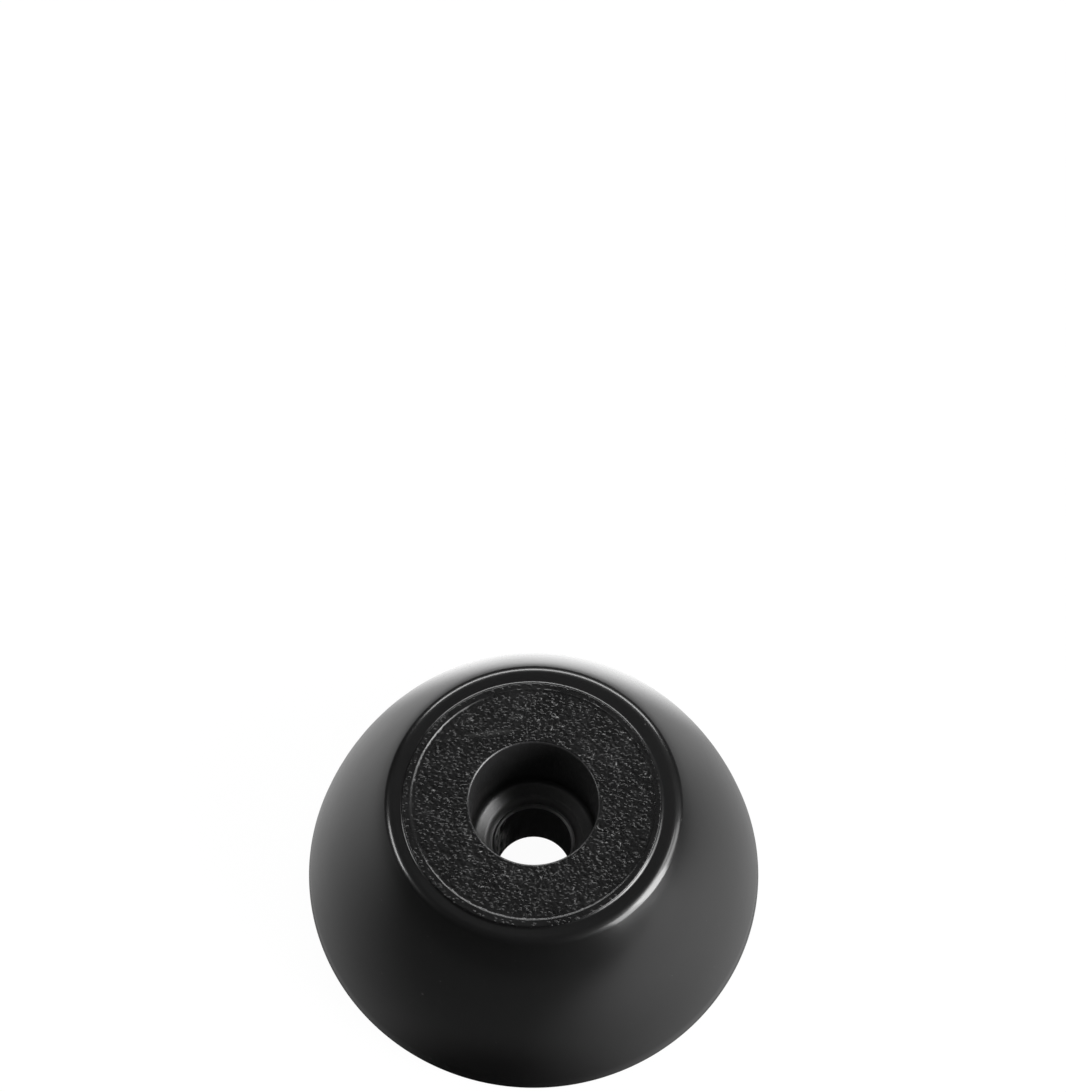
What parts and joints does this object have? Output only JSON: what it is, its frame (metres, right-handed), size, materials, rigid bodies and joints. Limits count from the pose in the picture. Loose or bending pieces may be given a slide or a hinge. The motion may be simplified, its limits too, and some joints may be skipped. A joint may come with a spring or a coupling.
{
  "type": "rubber foot",
  "caption": "Round black rubber foot with a convex tapered flank, a textured narrow floor face and a recessed screw hole with a conical seat.",
  "frame": {"origin": "centre of the wide mounting face, on the axis of the screw hole", "axes": "+Z along the axis of the foot, from the mounting face towards the narrow floor face"},
  "size_m": [0.038, 0.038, 0.017],
  "materials": {
    "rubber": "moulded satin black, fine leather grain on the floor face, ground matt on the mounting face"
  },
  "bodies": {
    "root": {"foot": "rubber"}
  },
  "joints": []
}
